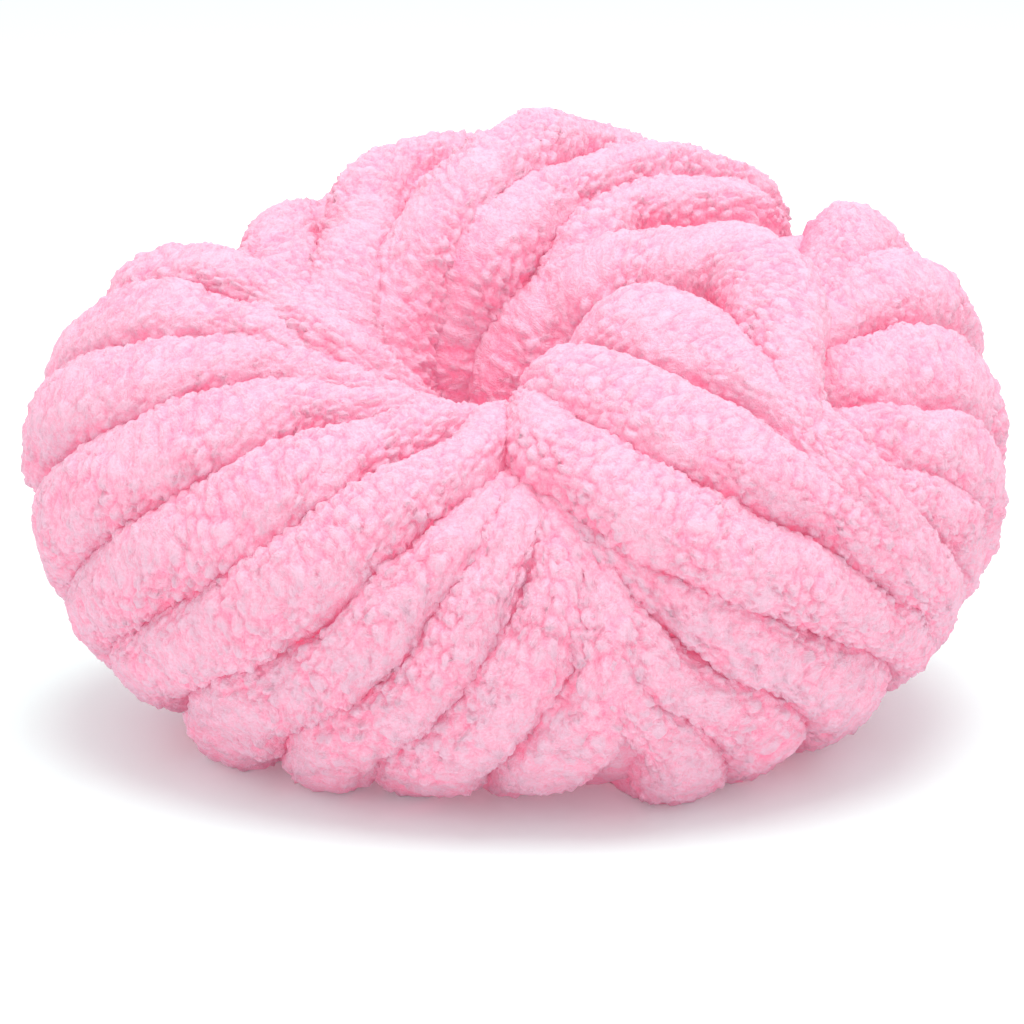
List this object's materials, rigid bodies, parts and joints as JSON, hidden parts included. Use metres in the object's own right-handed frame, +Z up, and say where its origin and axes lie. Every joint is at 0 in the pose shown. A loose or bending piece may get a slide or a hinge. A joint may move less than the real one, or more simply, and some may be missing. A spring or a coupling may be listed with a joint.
{
  "type": "ball of chenille yarn",
  "caption": "Hand-wound ball of super-chunky chenille yarn: plump strands wrapped round and through one pinched eye, pressed flat underneath.",
  "frame": {"origin": "on the table, under the middle of the ball's outline", "axes": "+X to the right along the ball's longest way, +Y to the back, +Z up; the pinched eye is tipped to -Y"},
  "size_m": [0.2479, 0.2139, 0.1465],
  "materials": {
    "chenille": "soft matt pink pile"
  },
  "bodies": {
    "root": {"yarn_ball": "chenille"}
  },
  "joints": []
}
